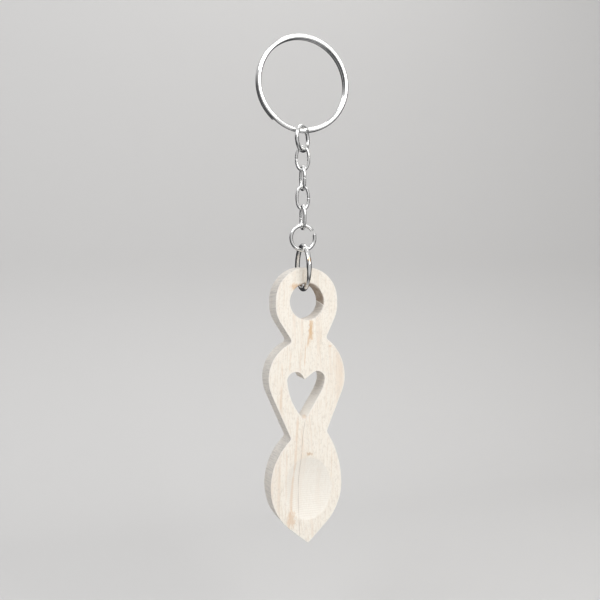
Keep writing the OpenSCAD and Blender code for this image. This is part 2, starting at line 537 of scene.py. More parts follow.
class BoardGrain(EffectGroup):
    """Fine upright grain of a sawn board, with broad streaks, short flecks and a soft mottle."""

    NAME = "board_grain"
    INPUTS = (("Fineness", VALUE, 1.0), ("Drift", VALUE, 1.0))
    OUTPUTS = tuple((name, VALUE) for name in ("Grain", "Streaks", "Flecks", "Mottle", "Height"))

    @classmethod
    def fill(cls, graph: Graph, given: dict[str, Socket]) -> dict[str, Socket]:
        """Makes the group's nodes.

        Args:
            graph: The group's graph.
            given: The group's inputs, by name.

        Returns:
            What feeds each output, by name.
        """
        place, x, y, z = graph.place()
        # The grain runs up the board and wanders a little sideways
        bend = graph.speckle(place, (0.05, 0.05, 0.045), 2.0)
        side = graph.times(graph.minus(bend, 0.5), 3.0)
        side = graph.times(side, given["Drift"])
        feeds = {0: graph.plus(x, side), 1: y, 2: z}
        wandered = graph.node("CombineXYZ", feeds).outputs[0]
        fine = graph.scaled(wandered, given["Fineness"])
        grain = graph.speckle(fine, (4.0, 3.6, 0.22), 5.0, 0.66)
        streaks = graph.speckle(wandered, (0.75, 0.4, 0.03), 4.0, 0.55)
        dashes = graph.speckle(fine, (6.5, 6.0, 1.3), 2.0, 0.5)
        flecks = graph.step(dashes, 0.6, 0.72)
        mottle = graph.speckle(fine, (1.9, 1.9, 1.2), 5.0, 0.7)
        height = graph.times(dashes, 0.45, grain)
        height = graph.times(mottle, 0.5, height)
        return {"Grain": grain, "Streaks": streaks, "Flecks": flecks, "Mottle": mottle, "Height": height}


class GrowthLine(EffectGroup):
    """One thin line of the wood's growth rings, drawn down the board and through it."""

    NAME = "growth_line"
    INPUTS = (
        ("Centre X", VALUE, 0.0),
        ("Middle Z", VALUE, -100.0),
        ("Lean", VALUE, 0.0),
        ("Bow", VALUE, 0.0),
        ("Slant", VALUE, 0.0),
        ("Half Width", VALUE, 0.1),
        ("Top Z", VALUE, -60.0),
        ("Bottom Z", VALUE, -130.0),
        ("Wander", VALUE, 0.2),
    )
    OUTPUTS = (("Mask", VALUE),)

    @classmethod
    def fill(cls, graph: Graph, given: dict[str, Socket]) -> dict[str, Socket]:
        """Makes the group's nodes.

        Args:
            graph: The group's graph.
            given: The group's inputs, by name.

        Returns:
            What feeds each output, by name.
        """
        place, x, y, z = graph.place()
        down = graph.minus(z, given["Middle Z"])
        bow = graph.times(graph.times(down, down), given["Bow"])
        centre = graph.times(down, given["Lean"], given["Centre X"])
        centre = graph.plus(centre, bow)
        centre = graph.times(y, given["Slant"], centre)
        wander = graph.minus(graph.speckle(place, (0.0, 0.0, 0.16), 3.0), 0.5)
        centre = graph.times(wander, given["Wander"], centre)
        off = graph.compute("ABSOLUTE", graph.minus(x, centre))
        thick = graph.speckle(place, (0.3, 0.3, 0.35), 3.0)
        width = graph.times(given["Half Width"], graph.step(thick, 0.3, 0.7, 0.55, 1.35))
        line = graph.minus(1.0, graph.compute("DIVIDE", off, width))
        line = graph.step(line, 0.0, 0.8)
        fade = graph.compute("MINIMUM", graph.minus(given["Top Z"], z), graph.minus(z, given["Bottom Z"]))
        line = graph.times(line, graph.step(fade, 0.0, 2.0))
        return {"Mask": graph.times(line, graph.step(thick, 0.25, 0.5, 0.45, 1.0))}


class Stain(EffectGroup):
    """A ragged spot of one size at one place, such as a knot, burn or tarnish."""

    NAME = "stain"
    INPUTS = (
        ("Place", VECTOR, (0, 0, 0)),
        ("Reach", VECTOR, (1, 1, 1)),
        ("Ragged", VALUE, 0.5),
        ("Strength", VALUE, 1.0),
    )
    OUTPUTS = (("Mask", VALUE),)

    @classmethod
    def fill(cls, graph: Graph, given: dict[str, Socket]) -> dict[str, Socket]:
        """Makes the group's nodes.

        Args:
            graph: The group's graph.
            given: The group's inputs, by name.

        Returns:
            What feeds each output, by name.
        """
        place = graph.place()[0]
        off = graph.vector("SUBTRACT", place, given["Place"])
        far = graph.vector("LENGTH", graph.vector("DIVIDE", off, given["Reach"]))
        torn = graph.minus(graph.speckle(place, (2.2, 1.0, 0.9), 4.0, 0.6), 0.5)
        far = graph.plus(far, graph.times(graph.times(torn, 3.0), given["Ragged"]))
        mask = graph.step(far, 0.35, 1.1, 1.0, 0.0)
        return {"Mask": graph.times(mask, given["Strength"])}


class SawMarks(EffectGroup):
    """Lines that a blade leaves through the thickness of a board."""

    NAME = "saw_marks"
    INPUTS = (("Fineness", VALUE, 1.0), ("Slope", VALUE, 0.0))
    OUTPUTS = (("Lines", VALUE), ("Height", VALUE))

    @classmethod
    def fill(cls, graph: Graph, given: dict[str, Socket]) -> dict[str, Socket]:
        """Makes the group's nodes.

        Args:
            graph: The group's graph.
            given: The group's inputs, by name.

        Returns:
            What feeds each output, by name.
        """
        _, x, y, z = graph.place()
        leaned = graph.times(y, given["Slope"], z)
        at = graph.node("CombineXYZ", {0: x, 1: y, 2: leaned}).outputs[0]
        at = graph.scaled(at, given["Fineness"])
        coarse = graph.speckle(at, (2.0, 0.05, 2.0), 2.0)
        fine = graph.speckle(at, (6.0, 0.16, 6.0), 3.0, 0.6)
        lines = graph.times(fine, 0.6, graph.times(coarse, 0.4))
        return {"Lines": lines, "Height": lines}


class HandlingWear(EffectGroup):
    """Scratches, faint pitting and dulled patches of plated wire that has been carried."""

    NAME = "handling_wear"
    INPUTS = (("Scratch Scale", VALUE, 1.0), ("Polish", VALUE, 0.12), ("Dulled", VALUE, 0.3))
    OUTPUTS = (("Grime", VALUE), ("Roughness", VALUE), ("Height", VALUE))

    @classmethod
    def fill(cls, graph: Graph, given: dict[str, Socket]) -> dict[str, Socket]:
        """Makes the group's nodes.

        Args:
            graph: The group's graph.
            given: The group's inputs, by name.

        Returns:
            What feeds each output, by name.
        """
        near = graph.scaled(graph.place()[0], given["Scratch Scale"])
        patches = graph.speckle(near, (0.7, 0.7, 0.7), 4.0, 0.55)
        scratches = graph.speckle(near, (9.0, 2.5, 1.4), 3.0, 0.6)
        crossing = graph.speckle(near, (1.6, 3.0, 8.0), 3.0, 0.6)
        lines = graph.compute("MAXIMUM", graph.step(scratches, 0.6, 0.7), graph.step(crossing, 0.62, 0.72))
        pits = graph.step(graph.speckle(near, (6.0, 6.0, 6.0), 2.0), 0.68, 0.76)
        dull = graph.step(patches, 0.45, 0.7)
        rough = graph.times(dull, given["Dulled"], given["Polish"])
        rough = graph.times(lines, 0.08, rough)
        height = graph.minus(graph.times(patches, 0.5), graph.times(lines, 0.25))
        height = graph.minus(height, graph.times(pits, 0.6))
        grime = graph.compute("MAXIMUM", graph.times(dull, 0.35), pits)
        return {"Grime": grime, "Roughness": rough, "Height": height}


# ---------------------------------------------------------------- finishes


def blank_material(name: str) -> tuple[bpy.types.Material, Graph, bpy.types.Node]:
    """Starts a material.

    Args:
        name: The material's name.

    Returns:
        The material, its graph and its Principled node, already joined to the output.
    """
    made = bpy.data.materials.new(name)
    made.use_nodes = True
    graph = Graph(made.node_tree)
    shader = graph.node("BsdfPrincipled")
    output = graph.node("OutputMaterial")
    graph.feed(output.inputs["Surface"], shader.outputs[0])
    return made, graph, shader


@dataclass(frozen=True)
class NickelPlate:
    """Bright nickel on steel wire, with the wear of its place on the charm."""

    name: str
    tint: Colour = (0.86, 0.86, 0.85)
    grime: Colour = (0.40, 0.38, 0.35)
    rust: Colour = (0.45, 0.27, 0.13)
    polish: float = 0.10
    dulled: float = 0.10
    scratch_scale: float = 1.0
    scratch_depth: float = 0.004
    spot: tuple[float, float, float] | None = None

    def build(self) -> bpy.types.Material:
        """Makes the material and returns it."""
        made, graph, shader = blank_material(self.name)
        wear = HandlingWear.use(
            graph, Scratch_Scale=self.scratch_scale, Polish=self.polish, Dulled=self.dulled
        )
        colour = graph.blend(graph.times(wear.outputs["Grime"], 0.4), self.tint, self.grime)
        if self.spot:
            tarnish = Stain.use(graph, Place=self.spot, Reach=(0.7, 0.8, 0.8), Ragged=0.35, Strength=0.8)
            colour = graph.blend(tarnish.outputs["Mask"], colour, self.rust)
        graph.feed(shader.inputs["Base Color"], colour)
        graph.feed(shader.inputs["Roughness"], wear.outputs["Roughness"])
        shader.inputs["Metallic"].default_value = 1.0
        feeds = {"Height": wear.outputs["Height"], "Distance": self.scratch_depth * MM, "Strength": 0.6}
        graph.feed(shader.inputs["Normal"], graph.node("Bump", feeds).outputs[0])
        return made


@dataclass(frozen=True)
class Sycamore:
    """Bare sanded pale wood, greyer where it was sawn and paler where it was carved."""

    name: str = "bare_sycamore"
    hole_z: float = 0.0
    heart_drop: float = 24.4
    grain_depth: float = 0.035
    saw_depth: float = 0.16
    streak_share: float = 0.42
    grain_share: float = 0.5
    mottle_share: float = 0.6
    fleck_share: float = 0.35
    carved_share: float = 0.6
    ridge_share: float = 0.34
    score_share: float = 0.32
    dust_share: float = 0.55
    pale: Colour = (0.91, 0.86, 0.775)
    warm: Colour = (0.76, 0.60, 0.46)
    grain: Colour = (0.72, 0.60, 0.47)
    grey: Colour = (0.72, 0.66, 0.58)
    sawn: Colour = (0.72, 0.685, 0.64)
    blade: Colour = (0.46, 0.42, 0.38)
    carved: Colour = (0.90, 0.87, 0.81)
    # Pale fibre of worn edges, also used as painted light on the heart's lower wall
    fibre_and_wall_light: Colour = (0.94, 0.91, 0.86)
    line: Colour = (0.42, 0.35, 0.30)
    tan: Colour = (0.74, 0.55, 0.39)
    brown: Colour = (0.52, 0.32, 0.17)
    rust: Colour = (0.70, 0.47, 0.27)
    # Dark brown of the painted shade on the hanging hole's upper wall
    hole_shade_colour: Colour = (0.36, 0.26, 0.18)

    def build(self) -> bpy.types.Material:
        """Makes the material and returns it."""
        made, graph, shader = blank_material(self.name)
        board = BoardGrain.use(graph, Fineness=1.0, Drift=1.0)
        saw = SawMarks.use(graph, Fineness=1.0, Slope=0.1)
        marks = {n: graph.node("Attribute", attribute_name=n).outputs["Fac"] for n in MARKS}

        upper_hole_shade, cleaned = self.painted_shade_hole_wall(graph, marks["sawn"])
        cut = graph.step(saw.outputs["Lines"], 0.42, 0.6, 0.6, 1.0)
        score = graph.step(saw.outputs["Lines"], 0.5, 0.6, 0.0, self.score_share)
        dust = graph.times(marks["edge"], graph.step(board.outputs["Grain"], 0.35, 0.6))
        layers = [
            (graph.times(graph.step(board.outputs["Streaks"], 0.5, 0.68), self.streak_share), self.warm),
            (graph.times(graph.step(board.outputs["Grain"], 0.48, 0.68), self.grain_share), self.grain),
            (graph.times(graph.step(board.outputs["Mottle"], 0.48, 0.66), self.mottle_share), self.grey),
            (graph.times(board.outputs["Flecks"], self.fleck_share), self.warm),
            (graph.times(marks["carved"], self.carved_share), self.carved),
            (graph.times(marks["ridge"], self.ridge_share), self.grey),
            *self.growth_lines(graph),
            (graph.times(marks["sawn"], cut), self.sawn),
            (graph.times(marks["sawn"], score), self.blade),
            # Painted light: the heart's lower wall is made paler
            (self.painted_light_heart_wall(graph, marks["sawn"]), self.fibre_and_wall_light),
            # Painted shade: the hole's upper wall is coloured dark brown
            (upper_hole_shade, self.hole_shade_colour),
            (cleaned, self.fibre_and_wall_light),
            (graph.times(dust, self.dust_share), self.fibre_and_wall_light),
            *self.stains_and_tip_shade(graph),
        ]
        colour: Feed = self.pale
        for mask, shade in layers:
            colour = graph.blend(mask, colour, shade)
        graph.feed(shader.inputs["Base Color"], colour)

        rough = graph.step(board.outputs["Grain"], 0.35, 0.65, 0.6, 0.74)
        rough = graph.times(marks["sawn"], 0.15, rough)
        graph.feed(shader.inputs["Roughness"], rough)
        shader.inputs["Specular IOR Level"].default_value = 0.25

        raised = {"Height": board.outputs["Height"], "Distance": self.grain_depth * MM, "Strength": 0.7}
        face = graph.node("Bump", raised)
        blade = graph.node("Bump", {"Distance": self.saw_depth * MM, "Strength": 0.9})
        graph.feed(blade.inputs["Height"], graph.times(saw.outputs["Height"], marks["sawn"]))
        graph.feed(blade.inputs["Normal"], face.outputs[0])
        graph.feed(shader.inputs["Normal"], blade.outputs[0])
        return made

    @staticmethod
    def wall_round(
        graph: Graph, place: Socket, z: float, fade: tuple[float, float], sawn: Socket
    ) -> Socket:
        """Picks the sawn wall round one opening.

        Args:
            graph: The material's graph.
            place: The place on the spoon.
            z: Height of the opening's middle.
            fade: Distances from the middle where the pick starts and ends to fade.
            sawn: The mask of sawn walls.

        Returns:
            The mask.
        """
        off = graph.vector("SUBTRACT", place, (0.0, 0.0, z))
        far = graph.vector("LENGTH", graph.vector("MULTIPLY", off, (1.0, 0.0, 1.0)))
        return graph.times(graph.step(far, *fade, 1.0, 0.0), sawn)

    def painted_light_heart_wall(self, graph: Graph, sawn: Socket) -> Socket:
        """Paints light on the heart's wall: paler low down and most of all near its tip, where the wall
        faces up into the light.

        Args:
            graph: The material's graph.
            sawn: The mask of sawn walls.

        Returns:
            The share of painted light.
        """
        place, _, _, z = graph.place()
        middle_z = self.hole_z - self.heart_drop
        near = self.wall_round(graph, place, middle_z, (7.4, 8.6), sawn)
        return graph.times(near, graph.step(z, middle_z - 4.5, middle_z + 5.0, 0.62, 0.05))

    def painted_shade_hole_wall(self, graph: Graph, sawn: Socket) -> tuple[Socket, Socket]:
        """Paints shade in dark brown on the upper part of the hanging hole's wall, which faces down.

        Args:
            graph: The material's graph.
            sawn: The mask of sawn walls.

        Returns:
            The painted shade on the upper part, and the pale cut that ends it.
        """
        place, _, y, z = graph.place()
        near = self.wall_round(graph, place, self.hole_z, (4.75, 5.1), sawn)
        torn = graph.speckle(place, (0.9, 0.5, 0.9), 3.0)
        level = graph.times(torn, 0.3, graph.minus(z, self.hole_z - 0.35))
        level = graph.times(y, -0.17, level)
        brown = graph.step(level, 0.0, 0.16)
        fade = graph.step(torn, 0.3, 0.7, 0.5, 0.85)
        upper_hole_shade = graph.times(graph.times(near, brown), fade)
        strip = graph.step(graph.compute("ABSOLUTE", graph.minus(level, 0.02)), 0.08, 0.17, 1.0, 0.0)
        return upper_hole_shade, graph.times(near, strip)

    def growth_lines(self, graph: Graph) -> list[tuple[Socket, Colour]]:
        """Draws the lines that run down the board.

        Args:
            graph: The material's graph.

        Returns:
            A mask and a colour for each line.
        """
        below = {"Middle_Z": -112.0, "Top_Z": -97.0, "Bottom_Z": -131.0, "Slant": 0.1}
        dark = dict(Centre_X=-1.85, Lean=0.065, Bow=0.003, Half_Width=0.12, Wander=0.5, **below)
        broad = dict(Centre_X=-3.4, Lean=0.095, Bow=-0.002, Half_Width=0.5, Wander=0.7, **below)
        rows = [
            (dark, 0.5, self.line),
            (broad, 0.42, self.tan),
            (self.streak(0.95, -71.7, -80.0, 0.5, 0.2), 0.6, self.rust),
            (self.streak(-0.3, -78.0, -85.0, 0.24), 0.6, self.tan),
            (self.streak(-1.5, -77.0, -88.0, 0.35), 0.22, self.tan),
            (self.streak(-4.3, -79.5, -86.0, 0.3), 0.3, self.tan),
            (self.streak(-6.5, -82.5, -88.5, 0.3), 0.3, self.tan),
            (self.streak(-7.0, -88.5, -96.5, 0.5), 0.3, self.tan),
            (self.streak(3.2, -76.0, -84.0, 0.4), 0.16, self.tan),
            (self.streak(5.6, -88.0, -97.0, 0.45), 0.16, self.tan),
            (self.streak(-5.6, -106.0, -120.0, 0.4), 0.2, self.tan),
            (self.streak(6.9, -105.0, -116.0, 0.4), 0.16, self.tan),
        ]
        made = []
        for values, strength, shade in rows:
            mask = GrowthLine.use(graph, **values).outputs["Mask"]
            made.append((graph.times(mask, strength), shade))
        return made

    @staticmethod
    def streak(
        x: float, top: float, bottom: float, half_width: float, lean: float = 0.02
    ) -> dict[str, float]:
        """Gives the values of one short faint streak.

        Args:
            x: Its middle across the board.
            top: Height of its upper end.
            bottom: Height of its lower end.
            half_width: Half its width.
            lean: How far it leans, in X for each unit of height.

        Returns:
            The values of its growth line.
        """
        middle = (top + bottom) / 2
        return dict(
            Centre_X=x, Lean=lean, Half_Width=half_width, Wander=0.8, Slant=0.1,
            Middle_Z=middle, Top_Z=top, Bottom_Z=bottom,
        )

    def stains_and_tip_shade(self, graph: Graph) -> list[tuple[Socket, Colour]]:
        """Draws small stain spots on the front face, and a painted shadow in the heart's tip.

        Args:
            graph: The material's graph.

        Returns:
            A mask and a colour for each stain.
        """
        front = -Spoon.wood / 2
        rows = [
            ((-3.2, front, -63.6), (1.7, 1.5, 1.1), 0.75, 0.7, self.rust),
            ((1.0, front, -75.2), (0.7, 1.2, 3.2), 0.75, 0.8, self.rust),
            ((6.4, front, -79.3), (0.45, 0.8, 0.3), 0.5, 0.6, self.tan),
            ((0.4, front, -107.4), (0.9, 0.8, 0.55), 1.1, 0.6, self.brown),
            ((-4.6, front, -124.3), (1.3, 1.2, 2.9), 1.1, 0.6, self.tan),
            # Painted shadow in the heart's tip, set on the wall inside the board
            ((-0.8, front + 1.5, -97.8), (1.3, 2.2, 0.7), 0.6, 0.4, self.tan),
        ]
        made = []
        for place, reach, ragged, strength, shade in rows:
            spot = Stain.use(graph, Place=place, Reach=reach, Ragged=ragged, Strength=strength)
            made.append((spot.outputs["Mask"], shade))
        return made


# ---------------------------------------------------------------- metal pieces


def solid_box(node: str) -> tuple[np.ndarray, np.ndarray]:
    """Gives the lowest and highest corner of a solid, in millimetres."""
    low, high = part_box(node)
    return np.array(low) / MM, np.array(high) / MM


def turned(turn: float) -> tuple[np.ndarray, np.ndarray]:
    """Gives the level direction in the plane of a ring turned about the vertical, and its normal."""
    t = math.radians(turn)
    return np.array([math.sin(t), math.cos(t), 0.0]), np.array([-math.cos(t), math.sin(t), 0.0])


@dataclass
class HungPiece:
    """A piece that stands for one solid and rides on the body of that name."""

    node: str
    finish: NickelPlate | Sycamore
    slot: str

    def skin(self) -> Skin:
        """Shapes the piece and returns its vertices and faces."""
        raise NotImplementedError

    def build(self) -> bpy.types.Object:
        """Makes the piece, dresses it and hangs it on its body.

        Returns:
            The piece's object.
        """
        piece = self.skin().mesh(f"{self.node}_shown")
        material = bpy.data.materials.get(self.finish.name) or self.finish.build()
        piece.data.materials.append(material)
        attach(piece, self.node)
        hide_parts(self.node)
        LOG.info("%s: %d vertices, %s", piece.name, len(piece.data.vertices), material.name)
        return piece


@dataclass
class SplitRing(HungPiece):
    """The key ring: a wire of nearly two turns that crosses from one to the other."""

    wire: float = 1.2
    turn: float = 1.0
    slit: float = 0.04
    crossing: float = 42.0
    crossing_end: float = 4.0
    end_room: float = 1.5
    ease: float = 4.0
    step: float = 1.2

    def skin(self) -> Skin:
        """Sweeps the wire round from its front end to its back end."""
        low, high = solid_box(self.node)
        centre = (low + high) / 2
        radius = (high[0] - low[0] - self.wire) / 2
        start = -90 + self.crossing_end + self.end_room
        leave_front = 270 + self.crossing_end - self.crossing
        stop = leave_front - self.end_room + 360
        angles = np.arange(start, stop + 0.01, self.step)
        angles = np.sort(np.concatenate([angles, [start + 0.25, start + 0.6, stop - 0.6, stop - 0.25]]))
        fine_step, margin = 0.25, 20
        fine = np.arange(leave_front - margin, leave_front + self.crossing + margin, fine_step)
        ramp = np.clip((fine - leave_front) / self.crossing, 0, 1)
        window = np.ones(int(2 * self.ease / fine_step) + 1)
        padded = np.pad(ramp, len(window) // 2, mode="edge")
        eased = np.convolve(padded, window / window.sum(), "valid")
        climb = np.interp(angles, fine, eased)
        y = centre[1] + (climb - 0.5) * (self.turn + self.slit)
        a = np.radians(angles)
        out = np.column_stack([np.cos(a), np.zeros(len(a)), np.sin(a)])
        path = radius * out + np.column_stack([np.full(len(a), centre[0]), y, np.full(len(a), centre[2])])
        across = np.tile([0.0, -1.0, 0.0], (len(a), 1))
        from_end = np.minimum(angles - angles[0], angles[-1] - angles)
        thin = np.interp(from_end, [0, 0.3, 0.9], [0.86, 0.96, 1.0])
        return sweep(path, out, across, round_section(self.wire, self.turn, 2.9, 28), thin)


@dataclass
class WireRing(HungPiece):
    """A ring of round wire, closed or with a gap between its ends."""

    wire: float = 1.0
    turn: float = 0.0
    gap: float = 0.0
    gap_at: float = 200.0
    sprung: float = 0.0
    offset: float = 0.0
    seam: float = 0.05
    bent: float = 14.0

    def skin(self) -> Skin:
        """Sweeps round wire about the ring's middle."""
        low, high = solid_box(self.node)
        centre = (low + high) / 2
        centre[0] = centre[1] = 0.0
        radius = (high[2] - low[2] - self.wire) / 2
        opened = math.degrees(max(self.gap, self.seam) / radius)
        a = np.radians(self.gap_at + opened / 2 + np.linspace(0, 360 - opened, 150))
        edge = np.degrees(a - a[0])
        near_end = np.clip(1 - (edge[-1] - edge) / self.bent, 0, 1) ** 2
        near_start = np.clip(1 - edge / self.bent, 0, 1) ** 2
        r = radius + self.sprung * near_end
        level, flat = turned(self.turn)
        out = np.cos(a)[:, None] * level + np.sin(a)[:, None] * UPRIGHT
        path = centre + r[:, None] * out + (self.offset * (near_start - near_end))[:, None] * flat
        across = np.tile(flat, (len(a), 1))
        from_end = np.minimum(edge, edge[-1] - edge) * math.radians(1) * radius
        thin = np.interp(from_end, [0, 0.04, 0.12], [0.86, 0.95, 1.0])
        return sweep(path, out, across, round_section(self.wire, self.wire, 2.0, 24), thin)


@dataclass
class OvalLink(HungPiece):
    """A chain link: an oval of round wire, closed by a butt seam in one leg."""

    wire: float = 0.75
    width: float = 3.95
    turn: float = 0.0
    seam_side: int = 1
    seam: float = 0.05
    power: float = 2.35

    def skin(self) -> Skin:
        """Sweeps round wire along the oval, from the seam round to it again."""
        low, high = solid_box(self.node)
        middle = (low[2] + high[2]) / 2
        length = high[2] - low[2]
        half_width, half_length = (self.width - self.wire) / 2, (length - self.wire) / 2
        oval = full_oval(np.linspace(0, 2 * math.pi, 1441), half_width, half_length, self.power)
        run = run_along(oval)
        at = np.linspace(self.seam / 2, run[-1] - self.seam / 2, 96)
        u, v = (np.interp(at, run, oval[:, i]) for i in (0, 1))
        halves = ((u, half_width), (v, half_length))
        nu, nv = (np.abs(w / h) ** (self.power - 1) * np.sign(w) / h for w, h in halves)
        size = np.hypot(nu, nv)
        nu, nv = nu / size, nv / size
        u, nu = u * self.seam_side, nu * self.seam_side
        level, flat = turned(self.turn)
        flat = flat * self.seam_side
        path = u[:, None] * level + v[:, None] * UPRIGHT + np.array([0, 0, middle])
        out = nu[:, None] * level + nv[:, None] * UPRIGHT
        run = run_along(path)
        from_end = np.minimum(run, run[-1] - run)
        thin = np.interp(from_end, [0, 0.2], [0.9, 1.0])
        across = np.tile(flat, (len(path), 1))
        return sweep(path, out, across, round_section(self.wire, self.wire, 2.0, 24), thin)


# ---------------------------------------------------------------- wooden spoon


@dataclass
class Spoon(HungPiece):
    """The carved spoon: a sawn board with a hanging hole, a pierced heart and a shallow bowl.

    The heart's lobe_r, side_r, edge and tip_x and the cusp's x are shares of its width, and
    the cusp's drop is a share of its height. Pairs are for the left side and the right.
    """

    wood: float = 6.0
    crown: float = 4.3
    hole: float = 9.2
    top_half: float = 8.45
    top_stretch: float = 1.4
    upper_waist_half: tuple[float, float] = (4.4, 5.5)
    upper_waist_skew: float = 0.7
    upper_waist_drop: float = 9.7
    mid_drop: float = 10.1
    mid_half: float = 10.55
    mid_r: float = 10.4
    lower_waist_drop: float = 15.0
    lower_waist_skew: float = 1.3
    lower_waist_half: tuple[float, float] = (4.7, 5.5)
    bowl_drop: float = 13.4
    bowl_half: tuple[float, float] = (10.2, 9.5)
    cheek_r: float = 14.5
    tip_drop: float = 15.2
    tip_r: float = 0.4
    notch_r: float = 0.9
    heart_w: float = 10.4
    heart_h: float = 12.3
    heart_rise: float = 1.6
    heart_blend: float = 5.0
    heart_tip_r: float = 0.45
    heart_tip_x: float = -0.071
    heart_lobe_r: tuple[float, float] = (0.216, 0.193)
    heart_side_r: tuple[float, float] = (1.64, 0.75)
    heart_edge: tuple[float, float] = (-0.524, 0.458)
    cusp_r: float = 0.22
    cusp_x: float = -0.06
    cusp_drop: float = 0.16
    dish_l: float = 16.6
    dish_w: float = 13.0
    dish_depth: float = 1.4
    dish_sink: float = 0.8
    wall_rows: int = 26
    spacing: float = 0.13
    cutter_pitch: float = 0.56
    ridge_height: float = 0.055
    rim_soft: tuple[float, float] = (0.03, 0.10)
    edge_ease: float = 0.13
    edge_uneven: tuple[float, float] = (0.035, 0.03)
    rubbed: float = 0.5
    torn: tuple[float, float] = (0.7, 0.6)
    saw_loss: float = 0.02
    saw_proud: float = 0.01
    face_step: float = 0.32
    dish_step: float = 0.22
    edge_room: float = 0.14

    def __post_init__(self) -> None:
        """Works out the heights on the spoon, from the hole's middle."""
        low, high = solid_box(self.node)
        self.hole_z = float(high[2]) - self.crown - self.hole / 2
        self.mid_z = -self.upper_waist_drop - self.mid_drop
        self.lower_waist_z = self.mid_z - self.lower_waist_drop
        self.bowl_z = self.lower_waist_z - self.bowl_drop
        self.heart_z = self.mid_z + self.heart_rise
        self.dish_z = self.bowl_z - self.dish_sink
        LOG.info("spoon: %.2f mm long, hole at %.2f", high[2] - low[2], self.hole_z)

    def notch(self, half: float, z: float) -> Circle:
        """Gives the circle of a sawn notch at a half width and height."""
        return (half + self.notch_r, z, -self.notch_r)

    def shoulder(self, notch: Circle, half: float, z: float) -> Circle:
        """Gives the circle that touches a notch from below and is widest at half and z."""
        h = half - notch[0]
        r = (h * h + (notch[1] - z) ** 2 - self.notch_r**2) / (2 * (h + self.notch_r))
        return (half - r, z, r)

    def side(self, i: int) -> list[Circle]:
        """Gives the circles down one side of the outline.

        Args:
            i: The side, 0 for left and 1 for right.

        Returns:
            The circles from the top to the tip, as if the side were the right one.
        """
        round_z = self.hole / 2 + self.crown - self.top_half
        away = i - 0.5
        upper_z = -self.upper_waist_drop + self.upper_waist_skew * away
        upper = self.notch(self.upper_waist_half[i], upper_z)
        lower = self.notch(self.lower_waist_half[i], self.lower_waist_z + self.lower_waist_skew * away)
        return [
            (0, round_z, self.top_half),
            (0, round_z - self.top_stretch, self.top_half),
            upper,
            self.shoulder(upper, self.mid_half, self.mid_z),
            (self.mid_half - self.mid_r, self.mid_z, self.mid_r),
            lower,
            self.shoulder(lower, self.bowl_half[i], self.bowl_z),
            (self.bowl_half[i] - self.cheek_r, self.bowl_z, self.cheek_r),
            (0, self.bowl_z - self.tip_drop + self.tip_r, self.tip_r),
        ]

    def outline(self) -> np.ndarray:
        """Draws the board's sawn edge, about the hole's middle."""
        right = band(self.side(1), 90, -90)
        left = band(self.side(0), 90, -90)[::-1] * [-1, 1]
        return even_loop(np.vstack([right, left[1:-1]]), self.spacing)

    def heart(self) -> np.ndarray:
        """Draws the pierced heart, about the hole's middle."""
        w, h = self.heart_w, self.heart_h
        lobe_r, side_r, edge = (
            [share * w for share in pair] for pair in (self.heart_lobe_r, self.heart_side_r, self.heart_edge)
        )
        middles = (edge[0] + lobe_r[0], edge[1] - lobe_r[1])
        lobes = [(middles[i], self.heart_z - lobe_r[i], lobe_r[i]) for i in (0, 1)]
        sides = []
        for i, out in enumerate((180 + self.heart_blend, -self.heart_blend)):
            reach = side_r[i] - lobe_r[i]
            x = lobes[i][0] - reach * math.cos(math.radians(out))
            z = lobes[i][1] - reach * math.sin(math.radians(out))
            sides.append((x, z, side_r[i]))
        cusp = (self.cusp_x * w, self.heart_z - self.cusp_drop * h + self.cusp_r, -self.cusp_r)
        tip = (self.heart_tip_x * w, self.heart_z - h + self.heart_tip_r, self.heart_tip_r)
        circles = [cusp, lobes[1], sides[1], tip, sides[0], lobes[0], cusp]
        return even_loop(band(circles, 90, 90)[:-1], self.spacing)

    def hanging_hole(self) -> np.ndarray:
        """Draws the hanging hole."""
        count = round(math.pi * self.hole / self.spacing)
        a = np.arange(count) * 2 * math.pi / count
        return self.hole / 2 * np.column_stack([np.cos(a), np.sin(a)])

    def hollow(self, points: np.ndarray) -> np.ndarray:
        """Works out how deep the bowl would be if its cut went on past its rim.

        Args:
            points: Places on the front face, about the hole's middle.

        Returns:
            Depth at each, negative outside the rim.
        """
        sweep_r = ((self.dish_l / 2) ** 2 + self.dish_depth**2) / (2 * self.dish_depth)
        cutter_r = ((self.dish_w / 2) ** 2 + self.dish_depth**2) / (2 * self.dish_depth)
        x, z = points[:, 0], points[:, 1] - self.dish_z
        reach = sweep_r - cutter_r + np.sqrt(np.maximum(cutter_r**2 - x**2, 0.01))
        return self.dish_depth - sweep_r + np.sqrt(np.maximum(reach**2 - z**2, 0.01))

    def ridges(self, points: np.ndarray) -> np.ndarray:
        """Gives the share of full height that the cutter's ridges have at places on the face."""
        z = points[:, 1] - self.dish_z
        wobble = 0.05 * np.sin(points[:, 0] * 1.1) + 0.02 * np.sin(points[:, 0] * 3.7 + z)
        ridge = np.abs(np.cos(math.pi * (z + wobble) / self.cutter_pitch)) ** 3
        worn = np.clip(0.75 - z / 14, 0.3, 1)
        return ridge * worn * np.clip(self.hollow(points) / 0.25, 0, 1)

    def carved(self, points: np.ndarray) -> np.ndarray:
        """Works out the bowl's real depth, with its soft rim and the cutter's ridges."""
        deep = self.hollow(points)
        x, z = points[:, 0], points[:, 1] - self.dish_z
        soft = self.rim_soft[0] + self.rim_soft[1] * np.clip((z - x) / 9, 0, 1)
        depth = (deep + np.sqrt(deep**2 + soft**2)) / 2
        return depth - self.ridge_height * self.ridges(points)

